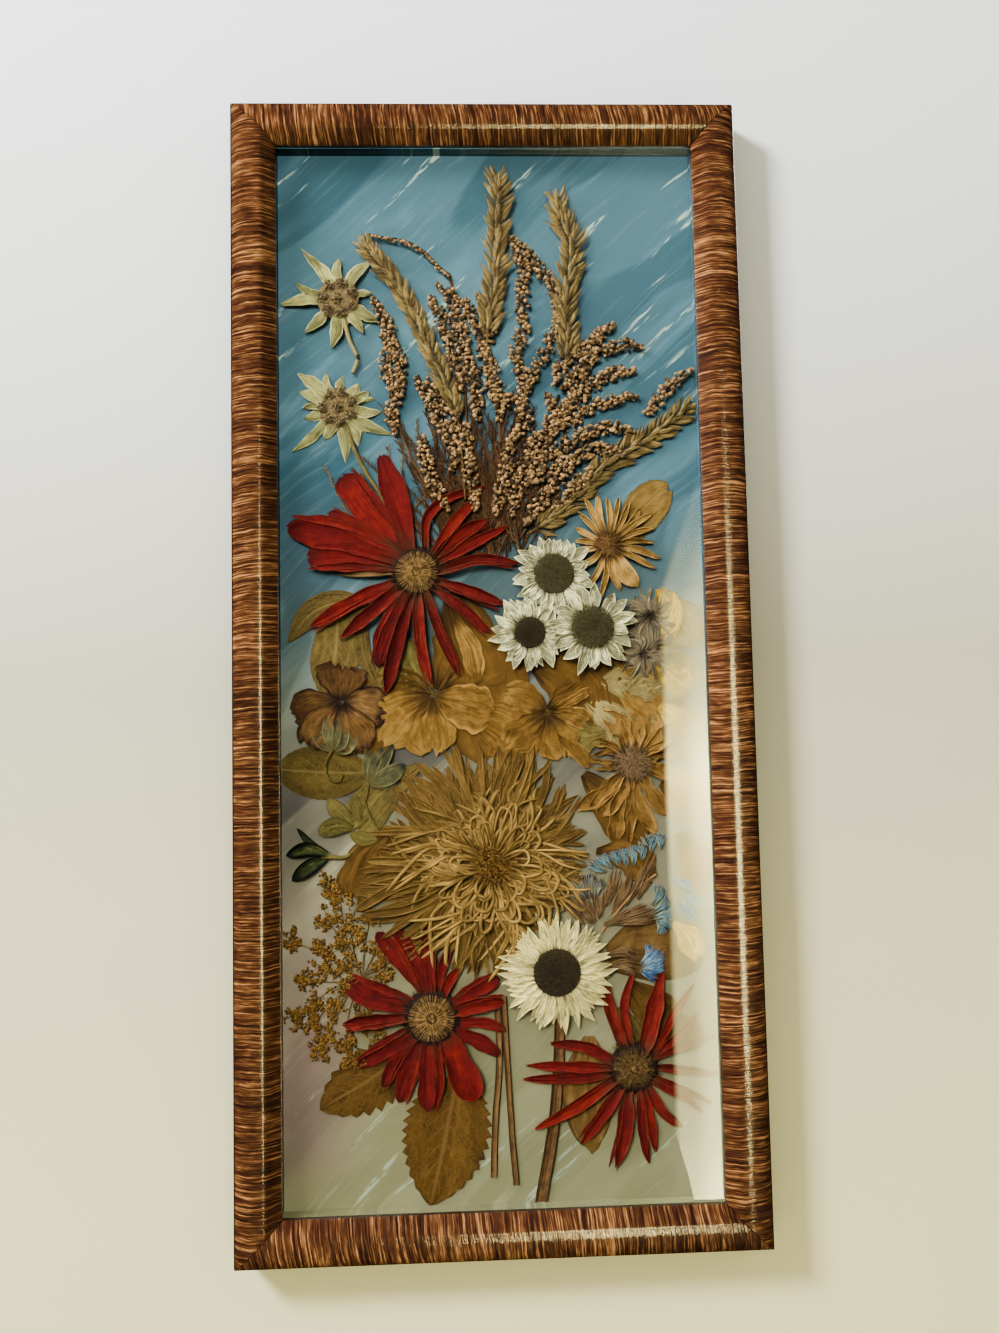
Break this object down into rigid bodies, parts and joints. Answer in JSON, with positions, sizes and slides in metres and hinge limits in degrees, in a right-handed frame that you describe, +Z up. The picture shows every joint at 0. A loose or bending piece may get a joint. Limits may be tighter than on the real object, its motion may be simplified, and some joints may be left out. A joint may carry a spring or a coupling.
{
  "type": "pressed flower frame",
  "caption": "Tall glazed wooden frame with pressed daisies, everlastings, edelweiss, grasses, seed sprays and leaves laid on a painted board; hangs from a sawtooth hanger.",
  "frame": {"origin": "the middle notch of the sawtooth hanger, on the plane of the wall", "axes": "+X to the right as seen from the front, +Y into the wall, +Z up; the glass faces -Y"},
  "size_m": [0.2, 0.02, 0.444],
  "materials": {
    "combed_wood": "glossy lacquer over a combed grain in tan and red-brown",
    "clear_glass": "polished clear picture glass",
    "spacer_wood": "thin wood stained nearly black",
    "painted_board": "matt paint, blue fading to lilac and cream",
    "hardboard": "raw brown hardboard",
    "hanger_steel": "dull brass-plated steel",
    "red_petals": "dry matt petals with lengthwise lines",
    "papery_petals": "satin papery bracts",
    "straw_petals": "dry satin straps",
    "golden_petals": "thin translucent dry petals",
    "pale_petals": "thin cream dry petals",
    "pansy_petals": "velvety dry petals",
    "edelweiss_wool": "fine felted hairs",
    "larkspur_petals": "dry matt petals with pale veins",
    "green_bud": "dark dry leaf",
    "cornflower_petals": "dry matt fringed florets",
    "umbel_gold": "granular dry flower heads",
    "grass_straw": "glossy dry husks",
    "brown_seeds": "matt dry seeds",
    "olive_leaf": "dry matt leaf with fine veins",
    "tan_leaf": "dry matt leaf with fine veins",
    "grey_flower": "crumpled dry petals",
    "stem_brown": "dry grooved stem"
  },
  "bodies": {
    "root": {"backing_board": "hardboard", "brown_disc_flower": "golden_petals", "chrysanthemum": "straw_petals", "cornflower_left": "cornflower_petals", "cornflower_lower": "cornflower_petals", "cornflower_right": "cornflower_petals", "cornflower_upper": "cornflower_petals", "edelweiss_lower": "edelweiss_wool", "edelweiss_upper": "edelweiss_wool", "everlasting_large": "papery_petals", "everlasting_left": "papery_petals", "everlasting_right": "papery_petals", "everlasting_top": "papery_petals", "forked_stem": "stem_brown", "glass_pane": "clear_glass", "golden_flower_left": "golden_petals", "golden_flower_right": "golden_petals", "golden_leaf_low": "tan_leaf", "golden_leaf_right": "tan_leaf", "grass_ear_centre": "grass_straw", "grass_ear_leaning": "grass_straw", "grass_ear_left": "grass_straw", "grass_ear_right": "grass_straw", "green_bud": "green_bud", "grey_dried_flower": "grey_flower", "large_serrated_leaf": "tan_leaf", "larkspur_left": "larkspur_petals", "larkspur_right": "larkspur_petals", "leaf_under_daisy": "olive_leaf", "leaf_upper_left": "olive_leaf", "oval_leaf": "olive_leaf", "painted_board": "painted_board", "pale_petals": "pale_petals", "pansy": "pansy_petals", "rail_bottom": "combed_wood", "rail_top": "combed_wood", "red_daisy_left": "red_petals", "red_daisy_right": "red_petals", "red_daisy_upper": "red_petals", "sawtooth_hanger": "hanger_steel", "seed_spray_arch": "brown_seeds", "seed_spray_centre": "brown_seeds", "seed_spray_edge": "brown_seeds", "seed_spray_inner_left": "brown_seeds", "seed_spray_left": "brown_seeds", "seed_spray_right": "brown_seeds", "seed_spray_tall": "brown_seeds", "small_serrated_leaf": "tan_leaf", "spacer_bottom": "spacer_wood", "spacer_left": "spacer_wood", "spacer_right": "spacer_wood", "spacer_top": "spacer_wood", "stile_left": "combed_wood", "stile_right": "combed_wood", "straw_daisy": "straw_petals", "tan_leaf": "tan_leaf", "thick_stem": "stem_brown", "umbel": "umbel_gold"}
  },
  "joints": []
}
